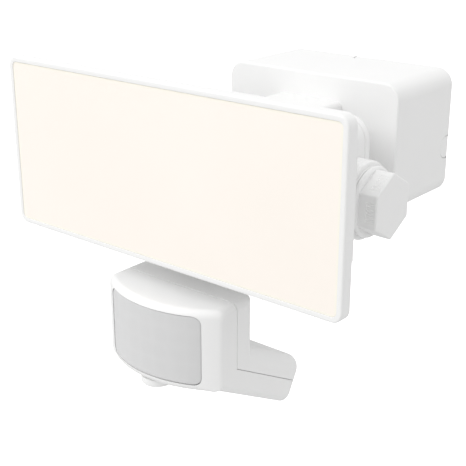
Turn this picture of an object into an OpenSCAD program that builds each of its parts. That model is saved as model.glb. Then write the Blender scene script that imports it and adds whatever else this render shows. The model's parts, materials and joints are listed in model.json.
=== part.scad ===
// Wall floodlight with a wide light panel and a motion sensor head.
// Millimetres, +Z up. The origin is on the wall, at the middle of the wall box; the light faces -Y.

/* [Light panel] */
// Width of the light panel
panel_w = 250; // [230:1:280]
// Height of the light panel
panel_h = 108; // [104:1:118]
// Thickness of the panel's edge
panel_t = 8; // [7:0.5:12]
// Corner radius of the panel
panel_r = 6.5; // [5:0.5:12]
// Width of the rim around the diffuser
rim_w = 3.5; // [3:0.5:6]
// Distance from the wall to the front of the panel
panel_reach = 214; // [212:1:224]
// Height of the panel's middle above the middle of the wall box
panel_rise = 5; // [0:1:10]

/* [Wall box] */
// Width of the wall box
box_w = 134; // [120:1:150]
// Height of the wall box
box_h = 85; // [80:1:100]
// Depth of the wall box
box_d = 70; // [60:1:76]
// Corner radius of the wall box
box_r = 11; // [8:1:16]
// Distance between the two wall screws
wall_screw_pitch = 83.3; // [60:0.1:90]

/* [Tilt hinge] */
// Width of the hinge housing behind the panel
hinge_w = 127; // [120:1:140]
// Radius of the round barrels at the ends of the hinge housing
barrel_r = 24; // [22:1:26]
// Radius of the tilt shaft
shaft_r = 5; // [4:0.5:6]
// Distance across the corners of a hexagonal knob
knob_corners = 41; // [36:1:44]
// Distance from the middle to the outer face of a knob
knob_reach = 95; // [92:1:100]

/* [Motion sensor] */
// Width of the sensor head
sensor_w = 90; // [80:1:96]
// Height of the sensor head's front
sensor_h = 51; // [48:1:54]
// Radius of the curved front, seen from above
front_r = 69; // [60:1:80]
// Slope of the rear arm, in degrees
arm_slope = 28.8; // [24:0.1:32]

/* [Hidden] */
$fn = 64;

wall = 3;                          // wall of the mouldings
thin = 2.5;                        // wall of the lamp and sensor mouldings
fit = 0.05;                        // radial running clearance
gap = 0.3;                         // clearance between parts that move past each other

// Wall box
rim_gap = 1;                       // gasket between the box and the wall
plate_w = box_w - 16;
plate_h = box_h - 16;
plate_t = 2.4;
cable_hole_z = 18;                 // height of the cable hole in the wall plate
cable_hole_r = 10;
plug_r = 8;                        // radius of a knock-out's round end
plug_depth = 12;                   // how far a knock-out reaches in from the wall
plug_z = -10;                      // height of the side knock-outs
box_screw_x = 46;

// Neck and hinge housing
axis_y = -panel_reach + 96;        // tilt axis
axis_z = -17;
hinge_back = axis_y + barrel_r;
hinge_front = axis_y - barrel_r;
hinge_seam = hinge_back - 6.5;
hinge_top = 27;
hinge_bottom = axis_z - barrel_r;
hinge_h = hinge_top - hinge_bottom;
hinge_z = (hinge_top + hinge_bottom) / 2;
hinge_r = 15;
neck_w = 51;
neck_h = 60;
neck_z = hinge_top - 1 - neck_h / 2;
post_x = 32;                       // posts that the housing's screws run into
post_z = 21;
lead_hole_r = 8;                   // hole that carries the leads through the neck
neck_boss_x = neck_w / 2 - 6;
neck_boss_z = neck_h / 2 - 6;
barrel_in = hinge_w / 2;
spigot_in = 13;                    // radius of the barrel's spigot in the housing's side
barrel_out = 78;
bush_r = 7;
washer_t = 1.4;
washer_r = 21;
knob_in = barrel_out + washer_t + gap;
flange_t = 3;
flange_r = 21.6;

// Lamp
face_y = -panel_reach;
back_y = face_y + panel_t;
glass_w = panel_w - 2 * rim_w + 1.4;
glass_h = panel_h - 2 * rim_w + 1.4;
glass_r = panel_r - rim_w + 0.7;
lip_t = 1.5;
glass_t = 2;
seal_t = 1;
flange_front = face_y + lip_t + glass_t + seal_t;
tray_w = panel_w - 24;
tray_h = panel_h - 16;
tray_r = 10;
tray_back = back_y + 18;
floor_y = tray_back - thin;
cover_w = 160;
cover_h = 78;
cover_r = 12;
cover_back = face_y + 54;
cover_screw_x = cover_w / 2 - 8;
cover_screw_z = cover_h / 2 - 8;
spreader_t = 2.4;
board_t = 1.6;
chip_t = 1.2;
board_front = floor_y - spreader_t - board_t;
arm_x = 45;                        // middle of each tilt arm
arm_t = 10;
arm_bar_h = 16;
eye_r = 13;
foot_w = 26;
foot_h = 34;
foot_t = 4;

// Sensor
pan_y = face_y + 48;               // axis of the sensor's swivel
sensor_top = panel_rise - panel_h / 2 - 16;
sensor_bottom = sensor_top - sensor_h;
nose_y = face_y - 15;              // foremost point of the curved front
arc_y = nose_y + front_r;          // centre of the curved front
cheek_y = arc_y - sqrt(front_r * front_r - sensor_w * sensor_w / 4);
head_back = face_y + 30;
arm_top_z = sensor_top - 32;       // where the arm's top meets the head's back
arm_reach = 51.5;                  // how far the arm reaches behind the head
seam_y = face_y + 15.3;
pin_z = sensor_top - 57;           // hinge pin of the sensor
pin_r = 3;
stem_top = panel_rise - cover_h / 2 - 12;
stem_r = 7;
spigot_r = 5;
collar_top = sensor_top - 18;
collar_bottom = pin_z + 25;
swivel_r = 10;
swivel_screw_z = (collar_top + collar_bottom) / 2 + 1;
spigot_top = stem_top + 15;
boss_top = spigot_top + 1;
stem_screw_z = stem_top + 8;
stem_lead_r = 2.5;                 // bore that carries the sensor's leads
tongue_t = 10;
boss_r = 11;
screw_x = 39.5;                    // screws that join the two shells
screw_row = 17;
screw_sink = 2.2;                  // depth of the screws' pockets in the head's back
boss_y = arc_y - sqrt(pow(front_r - thin, 2) - screw_x * screw_x) - 0.8;
lens_w = 71;
lens_h = sensor_h - 7.5;
lens_z = (sensor_top + sensor_bottom) / 2;
lens_t = 2;
lens_inset = 0.5;
dial_y = face_y - 4.5;
dial_r = 7;
dial_h = 6;
collar_r = 10;

white = [0.93, 0.93, 0.93];
steel = [0.70, 0.70, 0.72];
black = [0.12, 0.12, 0.13];
board_green = [0.10, 0.32, 0.18];

// ---- Shared shapes

// Rounded rectangle with true arcs
module round_rect(w, h, r) {
    square([w - 2 * r, h], center = true);
    square([w, h - 2 * r], center = true);
    for (sx = [-1, 1], sy = [-1, 1])
        translate([sx * (w / 2 - r), sy * (h / 2 - r)])
            circle(r);
}

// Upright plate with rounded corners that fills Y from y0 to y1
module plate(w, h, r, y0, y1, z = 0) {
    translate([0, y1, z])
        rotate([90, 0, 0])
            linear_extrude(y1 - y0)
                round_rect(w, h, r);
}

// Round bar along X from x0 to x1
module bar_x(r, x0, x1, y, z) {
    translate([x0, y, z])
        rotate([0, 90, 0])
            cylinder(r = r, h = x1 - x0);
}

// Round bar along Y from y0 to y1
module bar_y(r, y0, y1, x, z) {
    translate([x, y1, z])
        rotate([90, 0, 0])
            cylinder(r = r, h = y1 - y0);
}

// Round bar along Z from z0 to z1
module bar_z(r, z0, z1, x, y) {
    translate([x, y, z0])
        cylinder(r = r, h = z1 - z0);
}

// Block between two corners
module block(low, high) {
    translate(low)
        cube(high - low);
}

// Screw along Y: the head spans head_t behind y, on the side that dir gives
module screw_y(r, head_r, head_t, length, x, y, z, dir = 1) {
    far = y - dir * length;
    top = y + dir * head_t;
    bar_y(r, min(far, y), max(far, y), x, z);
    difference() {
        bar_y(head_r, min(y, top), max(y, top), x, z);
        translate([x, top, z])
            for (turn = [0, 90])
                rotate([0, turn, 0])
                    cube([head_r * 1.3, head_t, head_r * 0.3], center = true);
    }
}

// ---- Wall box

module wall_plate() {
    color(steel)
        difference() {
            plate(plate_w, plate_h, box_r - 5, -plate_t, 0);
            bar_y(cable_hole_r, -10, 10, 0, cable_hole_z);
            for (side = [-1, 1]) {
                bar_y(2.3, -10, 10, side * wall_screw_pitch / 2, 0);
                bar_y(1.6, -10, 10, side * box_screw_x, -plate_h / 2 + 6);
            }
            bar_y(1.8, -10, 10, 22, cable_hole_z);
        }
    color(steel)
        for (side = [-1, 1])
            difference() {
                block([side * box_screw_x - 7, -16, -plate_h / 2],
                    [side * box_screw_x + 7, -plate_t, -plate_h / 2 + 2]);
                bar_z(1.7, -plate_h / 2 - 5, -plate_h / 2 + 5, side * box_screw_x, -10);
            }
}

module wall_gasket() {
    color([0.25, 0.25, 0.26])
        difference() {
            plate(box_w - 2, box_h - 2, box_r - 1, -rim_gap, 0);
            plate(plate_w + 2, plate_h + 2, box_r - 4, -5, 5);
        }
}

// Outline of a knock-out, cut square at the wall and round at its inner end
module knockout_shape() {
    intersection() {
        union() {
            translate([0, plug_r - plug_depth])
                circle(plug_r);
            translate([-plug_r, plug_r - plug_depth])
                square(2 * plug_r);
        }
        translate([-2 * plug_r, -2 * plug_depth])
            square([4 * plug_r, 2 * plug_depth - rim_gap]);
    }
}

// Places a knock-out through the right side, the left side and the top of the box
module knockout_places(t) {
    for (side = [-1, 1])
        translate([side * (box_w / 2 - wall / 2), 0, plug_z])
            rotate([0, side * 90, 0])
                translate([0, 0, -t / 2])
                    linear_extrude(t)
                        children();
    translate([0, 0, box_h / 2 - wall / 2 - t / 2])
        linear_extrude(t)
            children();
}

module box_housing() {
    color(white)
        difference() {
            plate(box_w, box_h, box_r, -box_d, -rim_gap);
            plate(box_w - 2 * wall, box_h - 2 * wall, box_r - wall, -box_d + wall, 5);
            knockout_places(wall + 2) knockout_shape();
            bar_y(lead_hole_r, -box_d - 1, -box_d + wall + 1, 0, neck_z);
            for (sx = [-1, 1], sz = [-1, 1])
                bar_y(1.7, -box_d - 1, -box_d + wall + 1, sx * neck_boss_x, neck_z + sz * neck_boss_z);
            for (side = [-1, 1])
                bar_z(1.9, -box_h / 2 - 1, -box_h / 2 + wall + 1, side * box_screw_x, -10);
        }
}

module knockout_plugs() {
    color(white)
        knockout_places(wall - 0.8) knockout_shape();
}

module box_screws() {
    color(steel)
        for (side = [-1, 1])
            translate([side * box_screw_x, -10, 0])
                difference() {
                    union() {
                        bar_z(1.6, -box_h / 2 - 1, -plate_h / 2 + 5, 0, 0);
                        bar_z(3, -box_h / 2 - 1.8, -box_h / 2, 0, 0);
                    }
                    translate([0, 0, -box_h / 2 - 1.8])
                        for (turn = [0, 90])
                            rotate([0, 0, turn])
                                cube([3.8, 0.9, 1.6], center = true);
                }
}

module terminal_block() {
    color([0.92, 0.90, 0.82])
        difference() {
            block([-18, -27, -34], [18, -13, -18]);
            for (way = [-12, 0, 12]) {
                bar_y(3.2, -28, -20, way, -26);
                bar_z(2.6, -30, -17, way, -17);
            }
        }
}

module ground_screw() {
    color([0.25, 0.55, 0.25])
        screw_y(1.8, 3.6, 2, plate_t, 22, -plate_t, cable_hole_z, -1);
}

module power_board() {
    color(board_green)
        block([-48, -58, -30], [48, -56.4, 4]);
    color(steel)
        for (side = [-1, 1])
            bar_y(2.5, -box_d + wall, -58, side * 44, -13);
}

module relay() {
    color([0.15, 0.35, 0.65])
        block([14, -56.4, -26], [42, -41, -14]);
}

module capacitor() {
    color(black)
        for (column = [0, 1])
            bar_y(6, -56.4, -40, -38 + column * 16, -18);
}

module transformer() {
    color([0.85, 0.70, 0.25])
        block([-14, -56.4, -24], [8, -38, -6]);
}

module cable_grommet() {
    color(black)
        difference() {
            union() {
                bar_y(lead_hole_r, -box_d, -box_d + wall, 0, neck_z);
                bar_y(lead_hole_r + 2.5, -box_d + wall, -box_d + wall + 2, 0, neck_z);
            }
            bar_y(lead_hole_r - 3, -box_d - 1, -box_d + wall + 4, 0, neck_z);
        }
}

// ---- Neck and hinge housing

module neck() {
    color(white)
        difference() {
            plate(neck_w, neck_h, 4, hinge_back, -box_d, neck_z);
            difference() {
                plate(neck_w - 2 * wall, neck_h - 2 * wall, 2, hinge_back - 1, -box_d + 1, neck_z);
                for (sx = [-1, 1], sz = [-1, 1])
                    bar_y(5, hinge_back - 2, -box_d + 2, sx * neck_boss_x, neck_z + sz * neck_boss_z);
            }
            for (sx = [-1, 1], sz = [-1, 1])
                bar_y(1.4, hinge_back - 2, -box_d + 2, sx * neck_boss_x, neck_z + sz * neck_boss_z);
        }
}

module neck_screws() {
    color(steel)
        for (sx = [-1, 1], sz = [-1, 1])
            screw_y(1.4, 3, 1.8, 12, sx * neck_boss_x, -box_d + wall, neck_z + sz * neck_boss_z);
}

module hinge_core(y0, y1, t) {
    plate(hinge_w - 2 * t, hinge_h - 2 * t, hinge_r - t, y0, y1, hinge_z);
}

module bracket_rear_shell() {
    color(white)
        difference() {
            hinge_core(hinge_seam, hinge_back, 0);
            hinge_core(hinge_seam - 1, hinge_back - wall, wall);
            bar_y(lead_hole_r, hinge_back - wall - 1, hinge_back + 1, 0, neck_z);
            for (sx = [-1, 1], sz = [-1, 1])
                bar_y(1.7, hinge_back - wall - 1, hinge_back + 1, sx * neck_boss_x,
                    neck_z + sz * neck_boss_z);
            for (sx = [-1, 1], sz = [-1, 1])
                bar_y(1.7, hinge_back - wall - 1, hinge_back + 1, sx * post_x, hinge_z + sz * post_z);
            for (side = [0, 1])
                mirror([side, 0, 0])
                    bar_x(spigot_in + fit, barrel_in - wall - 4, barrel_in + 1, axis_y, axis_z);
        }
}

module bracket_front_shell() {
    color(white)
        difference() {
            union() {
                difference() {
                    hinge_core(hinge_front, hinge_seam, 0);
                    hinge_core(hinge_front + wall, hinge_seam + 1, wall);
                }
                for (sx = [-1, 1], sz = [-1, 1])
                    bar_y(4, hinge_front + 1, hinge_seam, sx * post_x, hinge_z + sz * post_z);
            }
            for (sx = [-1, 1], sz = [-1, 1])
                bar_y(1.4, hinge_front + wall, hinge_seam + 1, sx * post_x, hinge_z + sz * post_z);
            for (sx = [-1, 1])
                block([sx * arm_x - arm_t / 2 - 1.5, hinge_front - 1, hinge_bottom - 1],
                    [sx * arm_x + arm_t / 2 + 1.5, axis_y - 9, axis_z + 20]);
            for (side = [0, 1])
                mirror([side, 0, 0])
                    bar_x(spigot_in + fit, barrel_in - wall - 4, barrel_in + 1, axis_y, axis_z);
        }
}

module bracket_screws() {
    color(steel) {
        for (sx = [-1, 1], sz = [-1, 1])
            screw_y(1.4, 3, 1.8, 30, sx * post_x, hinge_back, hinge_z + sz * post_z);
        for (sx = [-1, 1], sz = [-1, 1])
            screw_y(1.4, 2.8, 1.5, 10, sx * neck_boss_x, hinge_back - wall, neck_z + sz * neck_boss_z, -1);
    }
}

// Round end of the hinge housing, with a spigot that fits the housing's side
module barrel() {
    color(white)
        difference() {
            union() {
                bar_x(barrel_r, barrel_in, barrel_out - 2, axis_y, axis_z);
                bar_x(barrel_r - 1.2, barrel_out - 3, barrel_out, axis_y, axis_z);
                bar_x(spigot_in, barrel_in - wall - 3, barrel_in + 1, axis_y, axis_z);
            }
            bar_x(bush_r, barrel_in - 10, barrel_out + 1, axis_y, axis_z);
        }
}

module barrel_left() {
    mirror([1, 0, 0]) barrel();
}

module barrel_right() {
    barrel();
}

module tilt_bushes() {
    color([0.55, 0.45, 0.25])
        for (side = [0, 1])
            mirror([side, 0, 0])
                difference() {
                    bar_x(bush_r, barrel_in - wall - 3, barrel_out, axis_y, axis_z);
                    bar_x(shaft_r + fit, barrel_in - 10, barrel_out + 1, axis_y, axis_z);
                }
}

module friction_washers() {
    color(white)
        for (side = [0, 1])
            mirror([side, 0, 0])
                difference() {
                    bar_x(washer_r, barrel_out, barrel_out + washer_t, axis_y, axis_z);
                    bar_x(shaft_r + fit, barrel_out - 1, barrel_out + 3, axis_y, axis_z);
                }
}

// Hexagonal locking knob with grip ridges along its flats
module tilt_knob() {
    flat_r = knob_corners / 2 * cos(30);
    color(white)
        difference() {
            union() {
                bar_x(flange_r, knob_in, knob_in + flange_t, axis_y, axis_z);
                translate([knob_in + flange_t - 0.5, axis_y, axis_z])
                    rotate([0, 90, 0])
                        cylinder(r = knob_corners / 2, h = knob_reach - knob_in - flange_t + 0.5, $fn = 6);
            }
            bar_x(shaft_r + fit, knob_in - 1, knob_reach - 4, axis_y, axis_z);
            translate([0, axis_y, axis_z])
                for (flat = [0 : 5], line = [-3 : 3])
                    rotate([30 + 60 * flat, 0, 0])
                        translate([knob_reach - 6.8, line * 1.9 - 0.4, flat_r - 0.5])
                            cube([5.4, 0.8, 2]);
        }
}

module tilt_knob_left() {
    mirror([1, 0, 0]) tilt_knob();
}

module tilt_knob_right() {
    tilt_knob();
}

// ---- Lamp

module bezel_frame() {
    color(white)
        difference() {
            plate(panel_w, panel_h, panel_r, face_y, back_y, panel_rise);
            plate(panel_w - 2 * rim_w, panel_h - 2 * rim_w, panel_r - rim_w, face_y - 1,
                back_y + 1, panel_rise);
            plate(glass_w, glass_h, glass_r, face_y + lip_t, back_y + 1, panel_rise);
        }
}

module diffuser() {
    color([0.99, 0.95, 0.90])
        plate(glass_w, glass_h, glass_r, face_y + lip_t, face_y + lip_t + glass_t, panel_rise);
}

module panel_gasket() {
    color([0.8, 0.8, 0.8])
        difference() {
            plate(glass_w, glass_h, glass_r, flange_front - seal_t, flange_front, panel_rise);
            plate(tray_w - 4, tray_h - 4, tray_r - 2, flange_front - 5, flange_front + 5, panel_rise);
        }
}

module reflector() {
    inner_w = tray_w - 2 * thin;
    inner_h = tray_h - 2 * thin;
    color([0.97, 0.97, 0.97])
        difference() {
            plate(inner_w, inner_h, tray_r - thin, flange_front, board_front, panel_rise);
            plate(inner_w - 3, inner_h - 3, tray_r - thin - 1.5, flange_front - 1, board_front + 1,
                panel_rise);
        }
}

module led_board() {
    color([0.95, 0.95, 0.93])
        plate(tray_w - 8, tray_h - 8, tray_r - 4, board_front, board_front + board_t, panel_rise);
}

module led_chips() {
    columns = 16;
    rows = 6;
    pitch_x = (tray_w - 26) / (columns - 1);
    pitch_z = (tray_h - 22) / (rows - 1);
    color([0.98, 0.90, 0.45])
        for (column = [0 : columns - 1], row = [0 : rows - 1])
            translate([(column - (columns - 1) / 2) * pitch_x, board_front - chip_t / 2,
                panel_rise + (row - (rows - 1) / 2) * pitch_z])
                cube([3, chip_t, 3], center = true);
}

module heat_spreader() {
    color(steel)
        plate(tray_w - 8, tray_h - 8, tray_r - 4, floor_y - spreader_t, floor_y, panel_rise);
}

// Distance of a cooling fin from the middle
function fin_x(fin) = cover_w / 2 + 3.5 + fin * 3;

module panel_tray() {
    fins = 9;
    fin_half_h = tray_h / 2 - 12;
    color(white)
        difference() {
            union() {
                plate(glass_w, glass_h, glass_r, flange_front, back_y, panel_rise);
                plate(tray_w, tray_h, tray_r, back_y - 1, tray_back, panel_rise);
                for (side = [-1, 1], fin = [0 : fins - 1])
                    block([side * fin_x(fin) - 0.8, tray_back - 1, panel_rise - fin_half_h],
                        [side * fin_x(fin) + 0.8, tray_back + 9, panel_rise + fin_half_h]);
            }
            plate(tray_w - 2 * thin, tray_h - 2 * thin, tray_r - thin, flange_front - 1, floor_y,
                panel_rise);
            bar_y(5, floor_y - 1, tray_back + 1, 0, panel_rise + 20);
            for (sx = [-1, 1], sz = [-1, 1])
                bar_y(1.4, floor_y - 1, tray_back + 1, sx * cover_screw_x, panel_rise + sz * cover_screw_z);
        }
}

module driver_cover() {
    color(white)
        difference() {
            union() {
                difference() {
                    plate(cover_w, cover_h, cover_r, tray_back, cover_back, panel_rise);
                    difference() {
                        plate(cover_w - 2 * thin, cover_h - 2 * thin, cover_r - thin,
                            tray_back - 1, cover_back - thin, panel_rise);
                        for (sx = [-1, 1], sz = [-1, 1])
                            bar_y(5, tray_back - 2, cover_back, sx * cover_screw_x,
                                panel_rise + sz * cover_screw_z);
                    }
                }
                bar_z(boss_r, stem_top, boss_top, 0, pan_y);
                for (side = [-1, 1])
                    block([side * boss_r * 0.8 - 2, tray_back + 6, stem_top + 4],
                        [side * boss_r * 0.8 + 2, pan_y, panel_rise - cover_h / 2 + 1]);
            }
            bar_z(spigot_r, stem_top - 1, spigot_top, 0, pan_y);
            bar_z(stem_lead_r, spigot_top - 1, boss_top + 1, 0, pan_y);
            bar_y(1.5, pan_y + spigot_r - 1, pan_y + boss_r + 1, 0, stem_screw_z);
            for (sx = [-1, 1], sz = [-1, 1])
                bar_y(1.6, tray_back - 2, cover_back + 1, sx * cover_screw_x,
                    panel_rise + sz * cover_screw_z);
            bar_y(4, cover_back - 6, cover_back + 1, 0, panel_rise + 24);
            for (side = [-1, 1], row = [-1, 1])
                bar_y(1.4, cover_back - 6, cover_back + 1, side * (arm_x + row * 8.5), axis_z + row * 11);
        }
}

module cover_screws() {
    color(steel)
        for (sx = [-1, 1], sz = [-1, 1])
            screw_y(1.4, 2.8, 1.4, cover_back - tray_back + thin, sx * cover_screw_x, cover_back,
                panel_rise + sz * cover_screw_z);
}

module led_driver() {
    color(black)
        block([-62, tray_back + 0.5, panel_rise - 20], [62, cover_back - 9, panel_rise + 18]);
}

// Arm between the lamp and the tilt shaft
module tilt_arm() {
    color(steel)
        difference() {
            union() {
                block([arm_x - foot_w / 2, cover_back, axis_z - foot_h / 2],
                    [arm_x + foot_w / 2, cover_back + foot_t, axis_z + foot_h / 2]);
                block([arm_x - arm_t / 2, cover_back + 1, axis_z - arm_bar_h / 2],
                    [arm_x + arm_t / 2, axis_y, axis_z + arm_bar_h / 2]);
                bar_x(eye_r, arm_x - arm_t / 2, arm_x + arm_t / 2, axis_y, axis_z);
            }
            bar_x(shaft_r, arm_x - arm_t, arm_x + arm_t, axis_y, axis_z);
            for (row = [-1, 1])
                bar_y(1.6, cover_back - 1, cover_back + foot_t + 1, arm_x + row * 8.5, axis_z + row * 11);
        }
}

module tilt_arm_left() {
    mirror([1, 0, 0]) tilt_arm();
}

module tilt_arm_right() {
    tilt_arm();
}

module arm_screws() {
    color(steel)
        for (side = [-1, 1], row = [-1, 1])
            screw_y(1.4, 2.8, 1.6, 9, side * (arm_x + row * 8.5), cover_back + foot_t, axis_z + row * 11);
}

module tilt_shaft() {
    color(steel)
        bar_x(shaft_r, -knob_reach + 5, knob_reach - 5, axis_y, axis_z);
}

module vent_plug() {
    color(black) {
        bar_y(4, cover_back - thin, cover_back, 0, panel_rise + 24);
        bar_y(6, cover_back, cover_back + 2, 0, panel_rise + 24);
    }
}

module sensor_stem() {
    color(white)
        difference() {
            union() {
                bar_z(stem_r, collar_top + gap, stem_top, 0, pan_y);
                bar_z(boss_r - 1, stem_top - 4, stem_top, 0, pan_y);
                bar_z(spigot_r, collar_bottom + 3, spigot_top, 0, pan_y);
            }
            bar_z(stem_lead_r, collar_bottom, spigot_top + 1, 0, pan_y);
        }
}

// Grub screw along Y with a hexagon socket in its rear end
module grub_screw(front, back, z) {
    color(black)
        difference() {
            bar_y(1.5, front, back, 0, z);
            translate([0, back - 1, z])
                rotate([-90, 0, 0])
                    cylinder(r = 0.8, h = 2, $fn = 6);
        }
}

module stem_set_screw() {
    grub_screw(pan_y + spigot_r + 0.2, pan_y + boss_r - 1, stem_screw_z);
}

// ---- Sensor head

// Height of the arm's upper and lower faces at y, moved inwards by t
function arm_top(y, t) = arm_top_z - tan(arm_slope) * (y - head_back) - t / cos(arm_slope);
function arm_low(y, t) = sensor_bottom - tan(arm_slope) * (y - cheek_y) + t / cos(arm_slope);
function arm_mid(y) = (arm_top(y, 0) + arm_low(y, 0)) / 2;

// Side outline of the sensor in the Y-Z plane, moved inwards by t
module sensor_side(t) {
    end_y = head_back + arm_reach - t * cos(arm_slope);
    thickness = (arm_top(0, t) - arm_low(0, t)) * cos(arm_slope);
    low_y = end_y - t * sin(arm_slope) - thickness * sin(arm_slope);
    high_y = end_y - t * sin(arm_slope);
    fold = t * tan(arm_slope / 2);
    polygon([
        [nose_y - 1, sensor_top - t],
        [head_back - t, sensor_top - t],
        [head_back - t, arm_top(head_back - t, t)],
        [high_y, arm_top(high_y, t)],
        [low_y, arm_low(low_y, t)],
        [cheek_y + fold, sensor_bottom + t],
        [nose_y - 1, sensor_bottom + t]
    ]);
}

// Height of the two rows of screws that join the shells
function screw_z(row) = sensor_top - 8 - row * screw_row;

// Solid bounded by the side outline, the sides and the curved front, all moved inwards by t
module sensor_solid(t) {
    half = sensor_w / 2 - t;
    intersection() {
        translate([-half, 0, 0])
            rotate([90, 0, 90])
                linear_extrude(2 * half)
                    sensor_side(t);
        translate([0, arc_y, sensor_top - 110])
            linear_extrude(120)
                union() {
                    circle(front_r - t);
                    translate([-half, 0])
                        square([2 * half, 60]);
                }
    }
}

// Region behind and above the joint between the two shells
module behind_seam(t) {
    translate([-sensor_w, 0, 0])
        rotate([90, 0, 90])
            linear_extrude(2 * sensor_w)
                polygon([
                    [seam_y + t, sensor_top + 10],
                    [seam_y + t, arm_mid(seam_y) + t],
                    [head_back + 80, arm_mid(head_back + 80) + t],
                    [head_back + 80, sensor_top + 10]
                ]);
}

// Shell of the sensor with a hollow inside
module sensor_hull() {
    difference() {
        sensor_solid(0);
        sensor_solid(thin);
    }
}

// Window through the curved front
module lens_window(w, h, r, depth) {
    plate(w, h, r, nose_y - 1, nose_y + depth, lens_z);
}

module sensor_front_shell() {
    color(white)
        difference() {
            union() {
                difference() {
                    sensor_hull();
                    behind_seam(0);
                }
                for (side = [-1, 1], row = [0, 1])
                    bar_y(2.9, boss_y, seam_y, side * screw_x, screw_z(row));
            }
            for (side = [-1, 1], row = [0, 1])
                bar_y(1.5, boss_y + 2, seam_y + 1, side * screw_x, screw_z(row));
            lens_window(lens_w, lens_h, 5, 15);
            bar_z(dial_r - 1, sensor_bottom - 1, sensor_bottom + thin + 1, 0, dial_y);
        }
}

module sensor_rear_shell() {
    color(white)
        difference() {
            union() {
                intersection() {
                    sensor_hull();
                    behind_seam(0);
                }
                intersection() {
                    sensor_solid(1);
                    for (side = [-1, 1])
                        block([side * 10 - 3.3, pan_y - 9, pin_z - 8],
                            [side * 10 + 3.3, pan_y + 9, pin_z + 20]);
                }
                for (side = [-1, 1], row = [0, 1])
                    bar_y(3.2, seam_y, head_back - 1, side * screw_x, screw_z(row));
            }
            block([-6.6, pan_y - 12.5, pin_z - 12], [6.6, pan_y + 16, pin_z + 40]);
            bar_x(pin_r, -16, 16, pan_y, pin_z);
            for (side = [-1, 1], row = [0, 1])
                bar_y(1.6, seam_y - 1, head_back + 1, side * screw_x, screw_z(row));
            for (side = [-1, 1], row = [0, 1])
                bar_y(3.1, head_back - screw_sink, head_back + 1, side * screw_x, screw_z(row));
        }
}

module pir_lens() {
    color([0.82, 0.83, 0.84, 0.9])
        intersection() {
            difference() {
                bar_z(front_r - lens_inset, sensor_bottom, sensor_top, 0, arc_y);
                bar_z(front_r - lens_inset - lens_t, sensor_bottom - 1, sensor_top + 1, 0, arc_y);
            }
            lens_window(lens_w - 0.2, lens_h - 0.2, 4.9, 16);
        }
}

module lens_retainer() {
    color(black)
        intersection() {
            difference() {
                bar_z(front_r - thin - 0.05, sensor_bottom, sensor_top, 0, arc_y);
                bar_z(front_r - thin - 1.2, sensor_bottom - 1, sensor_top + 1, 0, arc_y);
                lens_window(lens_w - 8, lens_h - 8, 3, 22);
            }
            lens_window(lens_w, lens_h + 0.6, 4, 22);
        }
}

module pir_board() {
    color(board_green)
        block([-33, seam_y - 6, sensor_bottom + 8], [33, seam_y - 4.4, sensor_top - 6]);
}

module pir_elements() {
    color(steel)
        for (place = [-1, 0, 1])
            translate([place * 20, seam_y - 6, lens_z])
                rotate([90, 0, 0]) {
                    cylinder(r = 4.6, h = 4.2);
                    cylinder(r = 5.2, h = 0.6);
                }
}

module photocell() {
    color([0.75, 0.35, 0.25])
        bar_y(2.6, seam_y - 9, seam_y - 6, 0, lens_z - 13);
}

module dial_pot() {
    color([0.2, 0.35, 0.6])
        block([-5, dial_y - 5, sensor_bottom + thin + 1.2], [5, dial_y + 5, sensor_bottom + thin + 6.2]);
    color(board_green)
        block([-12, dial_y - 5.8, sensor_bottom + thin + 6.2],
            [12, seam_y - 6.4, sensor_bottom + thin + 7.4]);
}

module dial_collar() {
    color(white)
        difference() {
            bar_z(collar_r, sensor_bottom - dial_h + 1.5, sensor_bottom, 0, dial_y);
            bar_z(dial_r + gap, sensor_bottom - dial_h - 1, sensor_bottom + 1, 0, dial_y);
            sensor_solid(0);
        }
}

module control_dial() {
    color([0.35, 0.35, 0.37])
        difference() {
            union() {
                bar_z(dial_r, sensor_bottom - dial_h, sensor_bottom - 3 * gap, 0, dial_y);
                bar_z(2.5, sensor_bottom - 2, sensor_bottom + thin + 0.9, 0, dial_y);
            }
            block([-5, dial_y - 0.9, sensor_bottom - dial_h - 1],
                [5, dial_y + 0.9, sensor_bottom - dial_h + 1.2]);
        }
}

module sensor_swivel() {
    color(white)
        difference() {
            union() {
                bar_z(swivel_r, collar_bottom, collar_top, 0, pan_y);
                block([-tongue_t / 2, pan_y - 6.5, pin_z], [tongue_t / 2, pan_y + 6.5, collar_bottom + 1]);
                bar_x(8, -tongue_t / 2, tongue_t / 2, pan_y, pin_z);
            }
            bar_z(spigot_r + fit, collar_bottom + 2.7, collar_top + 1, 0, pan_y);
            bar_x(pin_r + fit, -tongue_t, tongue_t, pan_y, pin_z);
            bar_y(1.5, pan_y + spigot_r, pan_y + 12, 0, swivel_screw_z);
        }
}

module swivel_set_screw() {
    grub_screw(pan_y + spigot_r + 0.2, pan_y + swivel_r, swivel_screw_z);
}

module hinge_pin() {
    color(steel)
        bar_x(pin_r, -13.3, 13.3, pan_y, pin_z);
}

module hinge_washers() {
    color([0.9, 0.9, 0.85])
        for (side = [-1, 1])
            difference() {
                bar_x(6, side * 5.95 - 0.65, side * 5.95 + 0.65, pan_y, pin_z);
                bar_x(pin_r, side * 5.95 - 2, side * 5.95 + 2, pan_y, pin_z);
            }
}

module sensor_screws() {
    color(steel)
        for (side = [-1, 1], row = [0, 1])
            screw_y(1.5, 2.8, 1.4, 24, side * screw_x, head_back - screw_sink, screw_z(row));
}

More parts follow.
